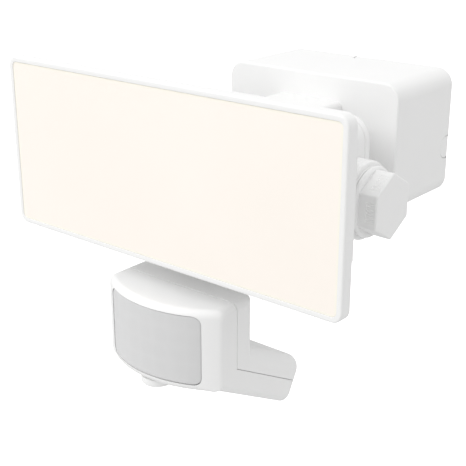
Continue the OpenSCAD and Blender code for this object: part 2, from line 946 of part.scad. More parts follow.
wall_plate();
wall_gasket();
box_housing();
knockout_plugs();
box_screws();
terminal_block();
ground_screw();
power_board();
relay();
capacitor();
transformer();
cable_grommet();
neck();
neck_screws();
bracket_rear_shell();
bracket_front_shell();
bracket_screws();
barrel_left();
barrel_right();
tilt_bushes();
friction_washers();
bezel_frame();
diffuser();
panel_gasket();
reflector();
led_board();
led_chips();
heat_spreader();
panel_tray();
driver_cover();
cover_screws();
led_driver();
tilt_arm_left();
tilt_arm_right();
arm_screws();
tilt_shaft();
vent_plug();
sensor_stem();
stem_set_screw();
tilt_knob_left();
tilt_knob_right();
sensor_swivel();
swivel_set_screw();
sensor_front_shell();
sensor_rear_shell();
pir_lens();
lens_retainer();
pir_board();
pir_elements();
photocell();
dial_pot();
dial_collar();
hinge_pin();
hinge_washers();
sensor_screws();
control_dial();
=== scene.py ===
"""Looks of the wall floodlight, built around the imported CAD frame. Lengths are in metres."""
import functools
import json
import math

import bmesh
import bpy
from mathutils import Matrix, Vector


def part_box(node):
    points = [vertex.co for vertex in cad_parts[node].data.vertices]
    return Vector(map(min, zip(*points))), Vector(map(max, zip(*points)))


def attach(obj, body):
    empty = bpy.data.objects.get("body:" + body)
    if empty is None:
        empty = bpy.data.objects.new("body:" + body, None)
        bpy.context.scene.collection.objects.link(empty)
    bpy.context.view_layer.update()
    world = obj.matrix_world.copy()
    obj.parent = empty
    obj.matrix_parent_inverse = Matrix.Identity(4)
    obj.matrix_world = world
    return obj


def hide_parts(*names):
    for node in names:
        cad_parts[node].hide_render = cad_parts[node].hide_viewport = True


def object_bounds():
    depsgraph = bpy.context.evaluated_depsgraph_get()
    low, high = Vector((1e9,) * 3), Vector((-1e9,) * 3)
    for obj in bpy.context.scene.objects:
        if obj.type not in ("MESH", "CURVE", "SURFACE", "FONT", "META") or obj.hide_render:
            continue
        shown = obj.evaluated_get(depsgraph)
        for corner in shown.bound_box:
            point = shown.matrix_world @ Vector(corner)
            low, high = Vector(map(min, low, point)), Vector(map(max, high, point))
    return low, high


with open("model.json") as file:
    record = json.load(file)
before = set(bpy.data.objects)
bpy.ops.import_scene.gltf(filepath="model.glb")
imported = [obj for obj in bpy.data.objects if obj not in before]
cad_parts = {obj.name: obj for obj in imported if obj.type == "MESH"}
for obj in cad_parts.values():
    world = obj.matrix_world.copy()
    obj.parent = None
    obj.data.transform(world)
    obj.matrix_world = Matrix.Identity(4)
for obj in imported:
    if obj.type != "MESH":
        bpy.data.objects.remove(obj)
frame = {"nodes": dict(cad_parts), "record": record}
CAD_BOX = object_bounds()

MM = 0.001
SENSOR_ARM_SLOPE = math.radians(28.8)
SENSOR_ARM_DROP = 32 * MM      # from the sensor's top to where its arm leaves the head's back
SENSOR_FRONT_R = 69 * MM       # radius of the curved front, seen from above
SCREW_SINK = 0.8 * MM          # how far the sensor's screw heads lie below its back
SEAM = 0.16 * MM               # half the width of a joint line between two shells
SPIGOT_R = 13 * MM             # barrel's spigot in the side of the hinge housing
FIT = 0.05 * MM                # radial clearance of a shaft or pin in its bore
WALL = 3 * MM                  # wall of the box, neck and hinge mouldings
THIN = 2.5 * MM                # wall of the lamp and sensor mouldings
RIM = 3.5 * MM                 # width of the bezel's front rim
KNOCKOUT_R = 8 * MM            # round end of a knock-out's D outline
KNOCKOUT_DEPTH = 1.3 * MM      # depth of the pocket that shows a knock-out's outline
STEM_SPIGOT_R = 5 * MM         # sensor stem's spigots, at its top and its foot
LEAD_R = 2.5 * MM              # bore for the sensor's leads
WINDOW_R = 5 * MM              # corners of the sensor's window
WINDOW_BACK = 2.3 * MM         # how far the window reaches behind the sensor's front
FRONT_TOP_R = 5 * MM           # sensor's outline, seen from the side: front top corner
FRONT_LOW_R = 3.5 * MM         # front bottom corner
BELLY_R = 9 * MM               # where its underside turns down to the arm
TOE_R = 6.5 * MM               # lower corner of the arm's end
HEEL_R = 7 * MM                # upper corner of the arm's end
SHOULDER_R = 3 * MM            # inner corner where the arm leaves the back
BACK_TOP_R = 0.8 * MM          # back top corner
CRISP_R = 0.3 * MM             # corners at a joint line
HOLLOW_R = 0.5 * MM            # front corners of the space inside
HEX_CORNER_R = 20.5 * MM       # knob's hexagon, centre to corner
HEX_EDGE_R = 1.6 * MM          # rounding of the hexagon's six edges
RIDGE_PITCH = 1.9 * MM         # grip ridges on the knob's flats
RIDGE_DEPTH = 0.32 * MM
RIDGE_REACH = 6.65 * MM        # how far the ridges run either side of a flat's middle


# ---------------------------------------------------------------- materials

def new_material(name, colour, rough, metal=0.0):
    """Principled material whose node tree the callers extend."""
    mat = bpy.data.materials.new(name)
    mat.use_nodes = True
    shader = mat.node_tree.nodes["Principled BSDF"]
    shader.inputs["Base Color"].default_value = (*colour, 1)
    shader.inputs["Roughness"].default_value = rough
    shader.inputs["Metallic"].default_value = metal
    return mat, mat.node_tree.nodes, mat.node_tree.links, shader


def noise(nodes, links, scale, detail=3.0, stretch=None):
    """Noise in the object's own coordinates, optionally stretched along an axis."""
    coords = nodes.new("ShaderNodeTexCoord")
    tex = nodes.new("ShaderNodeTexNoise")
    tex.inputs["Scale"].default_value = scale
    tex.inputs["Detail"].default_value = detail
    if stretch:
        mapping = nodes.new("ShaderNodeMapping")
        mapping.inputs["Scale"].default_value = stretch
        links.new(coords.outputs["Object"], mapping.inputs["Vector"])
        links.new(mapping.outputs["Vector"], tex.inputs["Vector"])
    else:
        links.new(coords.outputs["Object"], tex.inputs["Vector"])
    return tex


def add_bump(nodes, links, shader, height, strength, distance):
    """Drives the surface normal from a height."""
    bump = nodes.new("ShaderNodeBump")
    bump.inputs["Strength"].default_value = strength
    bump.inputs["Distance"].default_value = distance
    links.new(height, bump.inputs["Height"])
    links.new(bump.outputs["Normal"], shader.inputs["Normal"])


def vary_colour(nodes, links, shader, factor, dark, light):
    """Lets a factor shift the colour between two tones."""
    ramp = nodes.new("ShaderNodeValToRGB")
    ramp.color_ramp.elements[0].position = 0.35
    ramp.color_ramp.elements[1].position = 0.65
    ramp.color_ramp.elements[0].color = (*dark, 1)
    ramp.color_ramp.elements[1].color = (*light, 1)
    links.new(factor, ramp.inputs["Fac"])
    links.new(ramp.outputs["Color"], shader.inputs["Base Color"])


def vary_rough(nodes, links, shader, factor, low, high):
    """Lets a factor shift the roughness between two values."""
    remap = nodes.new("ShaderNodeMapRange")
    remap.inputs["To Min"].default_value = low
    remap.inputs["To Max"].default_value = high
    links.new(factor, remap.inputs["Value"])
    links.new(remap.outputs["Result"], shader.inputs["Roughness"])


def moulded(name, colour, rough=0.42, grain=2600.0, depth=0.00006, spread=0.012):
    """Moulded plastic: a fine spark-eroded grain, and slight shifts of tone and gloss."""
    mat, nodes, links, shader = new_material(name, colour, rough)
    broad = noise(nodes, links, 22.0, 4.0)
    dark = [max(c - spread, 0) for c in colour]
    light = [min(c + spread * 0.6, 1) for c in colour]
    vary_colour(nodes, links, shader, broad.outputs["Fac"], dark, light)
    vary_rough(nodes, links, shader, broad.outputs["Fac"], rough - 0.05, rough + 0.07)
    fine = noise(nodes, links, grain, 2.0)
    add_bump(nodes, links, shader, fine.outputs["Fac"], 0.35, depth)
    return mat


def coated_metal(name, colour):
    """Powder coat: soft orange peel over metal."""
    mat, nodes, links, shader = new_material(name, colour, 0.38)
    peel = noise(nodes, links, 900.0, 2.0)
    vary_colour(nodes, links, shader, peel.outputs["Fac"], [c - 0.01 for c in colour], colour)
    vary_rough(nodes, links, shader, peel.outputs["Fac"], 0.32, 0.45)
    add_bump(nodes, links, shader, peel.outputs["Fac"], 0.5, 0.0001)
    return mat


def bare_metal(name, colour, rough=0.32, stretch=(1, 30, 30)):
    """Drawn or turned metal with fine directional lines."""
    mat, nodes, links, shader = new_material(name, colour, rough, metal=1.0)
    lines = noise(nodes, links, 260.0, 4.0, stretch)
    vary_colour(nodes, links, shader, lines.outputs["Fac"], [c * 0.88 for c in colour], colour)
    vary_rough(nodes, links, shader, lines.outputs["Fac"], rough - 0.06, rough + 0.1)
    add_bump(nodes, links, shader, lines.outputs["Fac"], 0.2, 0.00003)
    return mat


def edge_band(nodes, links, node, width):
    """0 in the middle of a node's X-Z face, rising to 1 over the last width along its edges."""
    low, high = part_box(node)
    coords = nodes.new("ShaderNodeTexCoord")
    split = nodes.new("ShaderNodeSeparateXYZ")
    links.new(coords.outputs["Object"], split.inputs["Vector"])
    nearest = nodes.new("ShaderNodeMath")
    nearest.operation = "MAXIMUM"
    for slot_index, axis in enumerate("XZ"):
        start, end = getattr(low, axis.lower()), getattr(high, axis.lower())
        at, reach = (start + end) / 2, (end - start) / 2
        centred = nodes.new("ShaderNodeMath")
        centred.operation = "SUBTRACT"
        centred.inputs[1].default_value = at
        links.new(split.outputs[axis], centred.inputs[0])
        size = nodes.new("ShaderNodeMath")
        size.operation = "ABSOLUTE"
        links.new(centred.outputs["Value"], size.inputs[0])
        past = nodes.new("ShaderNodeMath")
        past.operation = "SUBTRACT"
        past.inputs[1].default_value = reach - width
        links.new(size.outputs["Value"], past.inputs[0])
        links.new(past.outputs["Value"], nearest.inputs[slot_index])
    band = nodes.new("ShaderNodeMapRange")
    band.inputs["From Max"].default_value = width
    links.new(nearest.outputs["Value"], band.inputs["Value"])
    return band.outputs["Result"]


def diffuser_sheet():
    """Milky sheet: warm and even, paler and more yellow where light is trapped along its edges."""
    mat, nodes, links, shader = new_material("light_diffuser", (0.945, 0.886, 0.825), 0.5)
    broad = noise(nodes, links, 9.0, 2.0)
    vary_colour(nodes, links, shader, broad.outputs["Fac"], (0.945, 0.884, 0.818), (0.955, 0.896, 0.832))
    sheet = shader.inputs["Base Color"].links[0].from_socket
    mix = nodes.new("ShaderNodeMix")
    mix.data_type = "RGBA"
    mix.inputs[7].default_value = (0.93, 0.915, 0.79, 1)
    links.new(sheet, mix.inputs[6])
    links.new(edge_band(nodes, links, "diffuser", 2.6 * MM), mix.inputs[0])
    links.new(mix.outputs[2], shader.inputs["Base Color"])
    fine = noise(nodes, links, 1800.0, 1.0)
    add_bump(nodes, links, shader, fine.outputs["Fac"], 0.12, 0.00005)
    return mat


def window_film():
    """Frosted window of the motion sensor: smooth, with the lens segments barely showing."""
    mat, nodes, links, shader = new_material("sensor_window", (0.645, 0.646, 0.647), 0.42)
    cells = nodes.new("ShaderNodeTexVoronoi")
    cells.inputs["Scale"].default_value = 95.0
    cells.inputs["Randomness"].default_value = 0.15
    coords = nodes.new("ShaderNodeTexCoord")
    links.new(coords.outputs["Object"], cells.inputs["Vector"])
    vary_colour(nodes, links, shader, cells.outputs["Distance"], (0.640, 0.641, 0.642), (0.652, 0.653, 0.654))
    fine = noise(nodes, links, 1500.0, 2.0)
    add_bump(nodes, links, shader, fine.outputs["Fac"], 0.2, 0.00006)
    return mat


def board_material():
    """Solder mask with tracks as a fine brick-like pattern."""
    mat, nodes, links, shader = new_material("circuit_board", (0.03, 0.16, 0.07), 0.3)
    coords = nodes.new("ShaderNodeTexCoord")
    tracks = nodes.new("ShaderNodeTexBrick")
    tracks.inputs["Scale"].default_value = 180.0
    tracks.inputs["Color1"].default_value = (0.02, 0.13, 0.05, 1)
    tracks.inputs["Color2"].default_value = (0.03, 0.17, 0.07, 1)
    tracks.inputs["Mortar"].default_value = (0.08, 0.30, 0.14, 1)
    links.new(coords.outputs["Object"], tracks.inputs["Vector"])
    links.new(tracks.outputs["Color"], shader.inputs["Base Color"])
    add_bump(nodes, links, shader, tracks.outputs["Fac"], 0.3, 0.00004)
    return mat


WHITE = (0.862, 0.862, 0.858)
MATERIALS = {
    "white_plastic": moulded("white_plastic", WHITE, 0.40, spread=0.006),
    "white_aluminium": coated_metal("white_aluminium", (0.85, 0.85, 0.845)),
    "light_diffuser": diffuser_sheet(),
    "sensor_window": window_film(),
    "zinc_steel": bare_metal("zinc_steel", (0.62, 0.63, 0.65)),
    "ground_green": coated_metal("ground_green", (0.05, 0.28, 0.08)),
    "black_rubber": moulded("black_rubber", (0.025, 0.025, 0.027), 0.7, 1500.0, 0.0001, 0.006),
    "clear_seal": moulded("clear_seal", (0.6, 0.6, 0.6), 0.4, 1200.0, 0.00005),
    "circuit_board": board_material(),
    "relay_blue": moulded("relay_blue", (0.03, 0.10, 0.35), 0.25, 900.0, 0.00003),
    "black_plastic": moulded("black_plastic", (0.02, 0.02, 0.022), 0.45, 1800.0, 0.00008, 0.004),
    "copper_winding": bare_metal("copper_winding", (0.72, 0.36, 0.12), 0.35, (30, 30, 1)),
    "terminal_cream": moulded("terminal_cream", (0.78, 0.72, 0.58), 0.4),
    "bronze": bare_metal("bronze", (0.45, 0.28, 0.12), 0.45, (1, 6, 6)),
    "reflector_white": moulded("reflector_white", (0.92, 0.92, 0.91), 0.6),
    "led_phosphor": moulded("led_phosphor", (0.9, 0.68, 0.12), 0.3, 2000.0, 0.00003, 0.03),
    "bare_aluminium": bare_metal("bare_aluminium", (0.75, 0.76, 0.78), 0.3),
    "photocell_red": moulded("photocell_red", (0.45, 0.08, 0.04), 0.2, 1500.0, 0.00003),
    "dial_grey": moulded("dial_grey", (0.09, 0.09, 0.10), 0.5, 1600.0, 0.0001, 0.01),
}
SLOT_OF = {row["node"]: row["material_slot"] for row in frame["record"]["subparts"]}
BODIES = frame["record"]["behaviour"]["bodies"]
BODY_OF = {node: body for body, group in BODIES.items() for node in group}
for node, cad in frame["nodes"].items():
    cad.data.materials.clear()
    cad.data.materials.append(MATERIALS[SLOT_OF[node]])
    cad.data.shade_smooth()
    cad.data.set_sharp_from_angle(angle=math.radians(28))


# ---------------------------------------------------------------- mesh tools

def add_mesh(name, verts, faces):
    """One object from points and faces."""
    mesh = bpy.data.meshes.new(name)
    mesh.from_pydata([tuple(v) for v in verts], [], faces)
    piece = bpy.data.objects.new(name, mesh)
    bpy.context.scene.collection.objects.link(piece)
    tidy(piece)
    return piece


def tidy(piece):
    """Welds, drops slivers and turns every face outwards."""
    work = bmesh.new()
    work.from_mesh(piece.data)
    bmesh.ops.remove_doubles(work, verts=work.verts, dist=2e-6)
    bmesh.ops.dissolve_degenerate(work, edges=work.edges, dist=1e-6)
    bmesh.ops.recalc_face_normals(work, faces=work.faces)
    work.to_mesh(piece.data)
    work.free()


def loft(name, loops, ring=False):
    """Skins equal loops in turn. A ring joins the last to the first; otherwise both ends are capped."""
    count = len(loops[0])
    verts = [p for loop in loops for p in loop]
    faces = []
    bands = len(loops) if ring else len(loops) - 1
    for k in range(bands):
        a, b = k * count, ((k + 1) % len(loops)) * count
        faces += [(a + i, a + (i + 1) % count, b + (i + 1) % count, b + i) for i in range(count)]
    if not ring:
        faces.append(tuple(range(count)))
        faces.append(tuple(range((len(loops) - 1) * count, len(loops) * count)))
    return add_mesh(name, verts, faces)


def rect_loop(w, h, r, y, middle, arc=8, straight=1):
    """Rounded rectangle in the X-Z plane at depth y, with straight sides cut into equal parts."""
    r = min(r, w / 2 - 1e-6, h / 2 - 1e-6)
    corners = ((1, 1, 0), (-1, 1, 90), (-1, -1, 180), (1, -1, 270))
    points = []
    for sx, sz, start in corners:
        for k in range(arc + 1):
            a = math.radians(start + 90 * k / arc)
            points.append(Vector((middle[0] + sx * (w / 2 - r) + r * math.cos(a), y,
                                  middle[1] + sz * (h / 2 - r) + r * math.sin(a))))
    if straight == 1:
        return points
    full = []
    for i, p in enumerate(points):
        full.append(p)
        if (i + 1) % (arc + 1) == 0:
            q = points[(i + 1) % len(points)]
            full += [p.lerp(q, k / straight) for k in range(1, straight)]
    return full


def shell_loops(w, h, r, middle, rows, arc=8):
    """Loops of one rounded rectangle that steps through (inset, y) rows."""
    return [rect_loop(w - 2 * i, h - 2 * i, max(r - i, 0.3 * MM), y, middle, arc) for i, y in rows]


def round_row(inset, y, radius, inwards, way, steps=5):
    """Rows of a quarter-round edge. It starts on the side wall and ends on the face at depth y."""
    rows = []
    for k in range(steps + 1):
        a = math.radians(90 * k / steps)
        drawn, sunk = radius * (1 - math.cos(a)), radius * (1 - math.sin(a))
        rows.append((inset + inwards * drawn, y + way * sunk))
    return rows


def turned(name, profile, origin, axis, steps=72, ring=False):
    """Turns (radius, height) rows about an axis through origin."""
    axis = Vector(axis).normalized()
    side = axis.orthogonal().normalized()
    other = axis.cross(side)
    loops = []
    for radius, height in profile:
        loops.append([Vector(origin) + axis * height + (side * math.cos(a) + other * math.sin(a)) * radius
                      for a in (2 * math.pi * k / steps for k in range(steps))])
    return loft(name, loops, ring)


def cutter_box(low, high):
    """Plain box between two corners."""
    size = Vector(high) - Vector(low)
    work = bmesh.new()
    bmesh.ops.create_cube(work, size=1)
    middle = (Vector(low) + Vector(high)) / 2
    for v in work.verts:
        v.co = Vector((v.co.x * size.x, v.co.y * size.y, v.co.z * size.z)) + middle
    mesh = bpy.data.meshes.new("cutter")
    work.to_mesh(mesh)
    work.free()
    piece = bpy.data.objects.new("cutter", mesh)
    bpy.context.scene.collection.objects.link(piece)
    return piece


def apply_modifiers(piece):
    """Bakes a piece's modifiers into its mesh."""
    graph = bpy.context.evaluated_depsgraph_get()
    graph.update()
    mesh = bpy.data.meshes.new_from_object(piece.evaluated_get(graph))
    piece.modifiers.clear()
    piece.data = mesh


def combine(piece, others, how):
    """Boolean of a piece with others, which are used up."""
    for other in others:
        cut = piece.modifiers.new("cut", "BOOLEAN")
        cut.operation = how
        cut.solver = "EXACT"
        cut.object = other
        apply_modifiers(piece)
        bpy.data.objects.remove(other)
    tidy(piece)
    return piece


def drill(piece, origin, axis, radius, start, end, steps=64):
    """Cuts a round hole along an axis through origin, between two distances along it."""
    hole = turned("hole", [(radius, start), (radius, end)], origin, axis, steps)
    return combine(piece, [hole], "DIFFERENCE")


def soften(piece, width, segments=3, angle=35):
    """Rounds the sharp edges of a piece."""
    edge = piece.modifiers.new("edge", "BEVEL")
    edge.width = width
    edge.segments = segments
    edge.limit_method = "ANGLE"
    edge.angle_limit = math.radians(angle)
    edge.harden_normals = False
    apply_modifiers(piece)
    return piece


def join(name, pieces):
    """One object from several closed meshes that keep apart."""
    work = bmesh.new()
    for p in pieces:
        work.from_mesh(p.data)
        bpy.data.objects.remove(p)
    mesh = bpy.data.meshes.new(name)
    work.to_mesh(mesh)
    work.free()
    piece = bpy.data.objects.new(name, mesh)
    bpy.context.scene.collection.objects.link(piece)
    return piece


def place(piece, node, angle=32):
    """Shades a piece, gives it the node's finish and body, and lets it stand for the node."""
    piece.name = node + "_skin"
    piece.data.materials.clear()
    piece.data.materials.append(MATERIALS[SLOT_OF[node]])
    for face in piece.data.polygons:
        face.material_index = 0
    piece.data.shade_smooth()
    piece.data.set_sharp_from_angle(angle=math.radians(angle))
    weigh = piece.modifiers.new("weigh", "WEIGHTED_NORMAL")
    weigh.keep_sharp = True
    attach(piece, BODY_OF[node])
    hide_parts(node)
    return piece


@functools.cache
def span(node):
    """Low corner, high corner, size and middle of a CAD node."""
    low, high = (Vector(v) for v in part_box(node))
    return low, high, high - low, (low + high) / 2


# ---------------------------------------------------------------- lamp

def make_bezel():
    """Frame round the diffuser, with a rounded rim and a rebate behind it."""
    low, high, size, mid = span("bezel_frame")
    glass_low = span("diffuser")[0]
    rebate = (size.x - span("diffuser")[2].x) / 2 - 0.1 * MM
    front, back = low.y, high.y
    rows = [(0.6 * MM, back), (0.0, back - 0.6 * MM)]
    rows += round_row(0, front, 1.3 * MM, 1, 1)
    rows += [(RIM - 0.5 * MM, front)]
    rows += [(RIM - 0.15 * MM, front + 0.12 * MM), (RIM, front + 0.5 * MM), (RIM, glass_low.y)]
    rows += [(rebate, glass_low.y), (rebate, back)]
    piece = loft("bezel", shell_loops(size.x, size.z, 6.5 * MM, (mid.x, mid.z), rows, 10), ring=True)
    return place(piece, "bezel_frame")


def make_diffuser():
    """Stepped sheet whose middle stands nearly flush with the bezel's rim."""
    low, high, size, mid = span("diffuser")
    face = span("bezel_frame")[0].y
    step = (size.x - (span("bezel_frame")[2].x - 2 * RIM)) / 2 + 0.04 * MM
    front = face + 0.45 * MM
    rows = [(0, high.y), (0, low.y + 0.02 * MM), (step, low.y + 0.02 * MM)]
    rows += round_row(step, front, 0.2 * MM, 1, 1, 4)
    rows += [(step + 2 * MM, front)]
    piece = loft("diffuser", shell_loops(size.x, size.z, 3.7 * MM, (mid.x, mid.z), rows, 10))
    return place(piece, "diffuser")


def make_tray():
    """Square-cornered flange that fills the bezel's back, with a rounded pan and cooling fins behind it."""
    low, high, size, mid = span("panel_tray")
    bezel = span("bezel_frame")
    bezel_back = bezel[1].y
    tray_back = span("driver_cover")[0].y
    pan_w, pan_h = bezel[2].x - 24 * MM, bezel[2].z - 16 * MM
    flange_r, pan_r, edge = 3.7 * MM, 10 * MM, 0.25 * MM

    def section(w, h, inset, r, y):
        """One loop of the tray, drawn in by inset."""
        return rect_loop(w - 2 * inset, h - 2 * inset, max(r - inset, 0.5 * MM), y, (mid.x, mid.z), 10)

    inside = [(THIN, tray_back - THIN), (THIN, low.y)]
    flange = [(0, low.y), (0, bezel_back - edge), (edge, bezel_back)]
    foot = [(-1.2 * MM, bezel_back), (-0.35 * MM, bezel_back + 0.35 * MM), (0, bezel_back + 1.2 * MM)]
    outside = foot + round_row(0, tray_back, 3.5 * MM, 1, -1)
    loops = [section(pan_w, pan_h, inset, pan_r, y) for inset, y in inside]
    loops += [section(size.x, size.z, inset, flange_r, y) for inset, y in flange]
    loops += [section(pan_w, pan_h, inset, pan_r, y) for inset, y in outside]
    parts = [loft("tray", loops)]
    cover_half = span("driver_cover")[2].x / 2
    fin_low, fin_high = mid.z - size.z / 2 + 17.2 * MM, mid.z + size.z / 2 - 17.2 * MM
    for side in (-1, 1):
        for k in range(9):
            x = side * (cover_half + (3.5 + 3 * k) * MM)
            fin = cutter_box((x - 0.8 * MM, tray_back - 0.4 * MM, fin_low),
                             (x + 0.8 * MM, high.y, fin_high))
            parts.append(soften(fin, 0.55 * MM, 3))
    return place(join("tray", parts), "panel_tray")


def make_driver_cover():
    """Rounded cover with four screw pits, and a ribbed boss under it for the sensor's stem."""
    low, high, size, mid = span("driver_cover")
    tray_back, back = low.y, high.y
    _, stem_high, _, stem_mid = span("sensor_stem")
    height = 78 * MM
    top = high.z
    centre = (mid.x, top - height / 2)
    rim = tray_back + 0.02 * MM
    rows = [(THIN, back - THIN), (THIN, rim), (0.5 * MM, rim), (0, rim + 0.5 * MM)]
    rows += round_row(0, back, 4.5 * MM, 1, -1, 7)
    cover = loft("cover", shell_loops(size.x, height, 12 * MM, centre, rows, 10))
    pits = []
    for sx in (-1, 1):
        for sz in (-1, 1):
            origin = (sx * (size.x / 2 - 8 * MM), back + 1 * MM, centre[1] + sz * (height / 2 - 8 * MM))
            pits.append(turned("pit", [(3.6 * MM, 0), (3.3 * MM, -2.2 * MM)], origin, (0, 1, 0), 40))
    combine(cover, pits, "DIFFERENCE")
    base = low.z
    bore_r = STEM_SPIGOT_R + FIT
    boss_top = stem_high.z + 1 * MM
    profile = [(LEAD_R, boss_top), (LEAD_R, stem_high.z + FIT), (bore_r, stem_high.z + FIT)]
    profile += [(bore_r, base + 0.02 * MM), (9.6 * MM, base + 0.02 * MM), (10.6 * MM, base + 0.25 * MM)]
    profile += [(11 * MM, base + 1.0 * MM), (11 * MM, boss_top)]
    boss = turned("boss", profile, (stem_mid.x, stem_mid.y, 0), (0, 0, 1), 64, ring=True)
    combine(cover, [cutter_box((-7 * MM, stem_mid.y - 7 * MM, centre[1] - height / 2 - 1 * MM),
                               (7 * MM, stem_mid.y + 4 * MM, boss_top + 1 * MM))], "DIFFERENCE")
    ribs = []
    for side in (-1, 1):
        x = side * 8.8 * MM
        rib = cutter_box((x - 1.6 * MM, tray_back + 6 * MM, base + 4 * MM),
                         (x + 1.6 * MM, stem_mid.y, centre[1] - height / 2 + 0.8 * MM))
        ribs.append(soften(rib, 0.5 * MM, 3))
    return place(join("cover", [cover, boss, *ribs]), "driver_cover")


def outline_piece(name, outline, x0, x1, width):
    """Extrudes a closed Y-Z outline from x0 to x1 and rounds its edges."""
    loops = [[Vector((x, y, z)) for y, z in outline] for x in (x0, x1)]
    return soften(loft(name, loops), width, 3, 40)


def arc_points(centre, radius, start, end, steps):
    """Points of an arc between two angles in degrees."""
    return [(centre[0] + radius * math.cos(math.radians(start + (end - start) * k / steps)),
             centre[1] + radius * math.sin(math.radians(start + (end - start) * k / steps)))
            for k in range(steps + 1)]


def make_arm(node):
    """Arm with an eye for the cross shaft and a pad that screws to the driver cover."""
    low, high, size, mid = span(node)
    shaft = span("tilt_shaft")[3]
    eye_r = high.y - shaft.y
    foot = low.y + 4 * MM
    bar = 8 * MM
    meet = math.degrees(math.asin(bar / eye_r))
    outline = arc_points((shaft.y, shaft.z), eye_r, -180 + meet, 180 - meet, 36)
    outline += [(foot + 5 * MM, shaft.z + bar)]
    outline += arc_points((foot + 5 * MM, shaft.z + bar + 5 * MM), 5 * MM, -90, -180, 6)[1:]
    outline += [(foot - 1 * MM, shaft.z + bar + 5 * MM), (foot - 1 * MM, shaft.z - bar - 5 * MM)]
    outline += arc_points((foot + 5 * MM, shaft.z - bar - 5 * MM), 5 * MM, 180, 90, 6)
    web = outline_piece("web", outline, mid.x - 5 * MM, mid.x + 5 * MM, 1.0 * MM)
    shaft_r = span("tilt_shaft")[2].y / 2
    drill(web, shaft, (1, 0, 0), shaft_r + FIT, low.x - 1 * MM, high.x + 1 * MM)
    rows = [(0.6 * MM, low.y + 0.01 * MM), (0, low.y + 0.6 * MM)] + round_row(0, foot, 1.2 * MM, 1, -1, 4)
    pad = loft("pad", shell_loops(size.x, size.z, 5 * MM, (mid.x, shaft.z), rows, 8))
    return place(join("arm", [pad, web]), node)


# ---------------------------------------------------------------- wall side

def make_box():
    """Wall box, open at the back, with the pockets round its three knock-outs."""
    low, high, size, mid = span("box_housing")
    front, back = low.y, high.y
    rows = [(WALL, front + WALL), (WALL, back - 0.3 * MM), (WALL - 0.3 * MM, back)]
    rows += [(0.5 * MM, back), (0, back - 0.5 * MM)]
    rows += round_row(0, front, 1.2 * MM, 1, 1, 6)
    piece = loft("box", shell_loops(size.x, size.z, 11 * MM, (mid.x, mid.z), rows, 14))
    combine(piece, knockout_outlines(0, KNOCKOUT_DEPTH, -5 * MM), "DIFFERENCE")
    return place(piece, "box_housing")


def knockout_outlines(inset, deep, shallow):
    """Prisms with the knock-outs' outline on both sides and the top, between two depths in the box."""
    _, high, size, mid = span("box_housing")
    plug_low = span("knockout_plugs")[0]
    r = KNOCKOUT_R - inset
    side_z = plug_low.z + KNOCKOUT_R
    centre_y = plug_low.y + KNOCKOUT_R
    end_y = high.y + 1 * MM - inset
    outline = [(a, y) for a, y in arc_points((0, centre_y), r, 180, 360, 24) if y < high.y - 1e-6]
    outline += [(r, end_y), (-r, end_y)]
    depths = (deep, shallow)
    made = []
    for side in (-1, 1):
        loops = [[Vector((side * (size.x / 2 - t), y, side_z + a)) for a, y in outline] for t in depths]
        made.append(loft("knockout", loops))
    loops = [[Vector((mid.x + a, y, high.z - t)) for a, y in outline] for t in depths]
    made.append(loft("knockout", loops))
    return made


def make_knockouts():
    """Plugs a little smaller than their pockets, so their outline shows as a groove."""
    plugs = knockout_outlines(0.75 * MM, KNOCKOUT_DEPTH, 0.3 * MM)
    back = span("box_housing")[1].y - 0.2 * MM
    for plug in plugs:
        for v in plug.data.vertices:
            v.co.y = min(v.co.y, back)
        soften(plug, 0.3 * MM, 3, 50)
    return place(join("plugs", plugs), "knockout_plugs")


def make_neck():
    """Hollow neck between the wall box and the hinge housing."""
    low, high, size, mid = span("neck")
    front, back = low.y + 0.01 * MM, high.y - 0.01 * MM
    rows = [(WALL, front), (0, front), (0, back), (WALL, back)]
    piece = loft("neck", shell_loops(size.x, size.z, 4 * MM, (mid.x, mid.z), rows, 8), ring=True)
    return place(piece, "neck")


def make_hinge_shells():
    """Two hollow shells of the hinge housing, slotted for the arms and bored for the barrels."""
    rear_low, rear_high, size, mid = span("bracket_rear_shell")
    front_low = span("bracket_front_shell")[0]
    seam = rear_low.y
    middle = (mid.x, mid.z)
    edge = 0.35 * MM
    rows = [(WALL, rear_high.y - WALL), (WALL, seam + SEAM), (edge, seam + SEAM), (0, seam + SEAM + edge)]
    rows += round_row(0, rear_high.y, 2.2 * MM, 1, -1, 6)
    rear = loft("rear", shell_loops(size.x, size.z, 15 * MM, middle, rows, 12))
    rows = [(WALL, front_low.y + WALL), (WALL, seam - SEAM), (edge, seam - SEAM), (0, seam - SEAM - edge)]
    rows += round_row(0, front_low.y, 5 * MM, 1, 1, 7)
    front = loft("front", shell_loops(size.x, size.z, 15 * MM, middle, rows, 12))
    shaft = span("tilt_shaft")[3]
    slots = []
    for node in ("tilt_arm_left", "tilt_arm_right"):
        x = span(node)[3].x
        slots.append(cutter_box((x - 6.5 * MM, front_low.y - 5 * MM, front_low.z - 5 * MM),
                                (x + 6.5 * MM, shaft.y - 9 * MM, shaft.z + 20 * MM)))
    combine(front, slots, "DIFFERENCE")
    inner, outer = size.x / 2 - WALL - 1 * MM, size.x / 2 + 1 * MM
    for shell, node in ((rear, "bracket_rear_shell"), (front, "bracket_front_shell")):
        for side in (-1, 1):
            drill(shell, shaft, (side, 0, 0), SPIGOT_R + FIT, inner, outer, 96)
        place(shell, node)


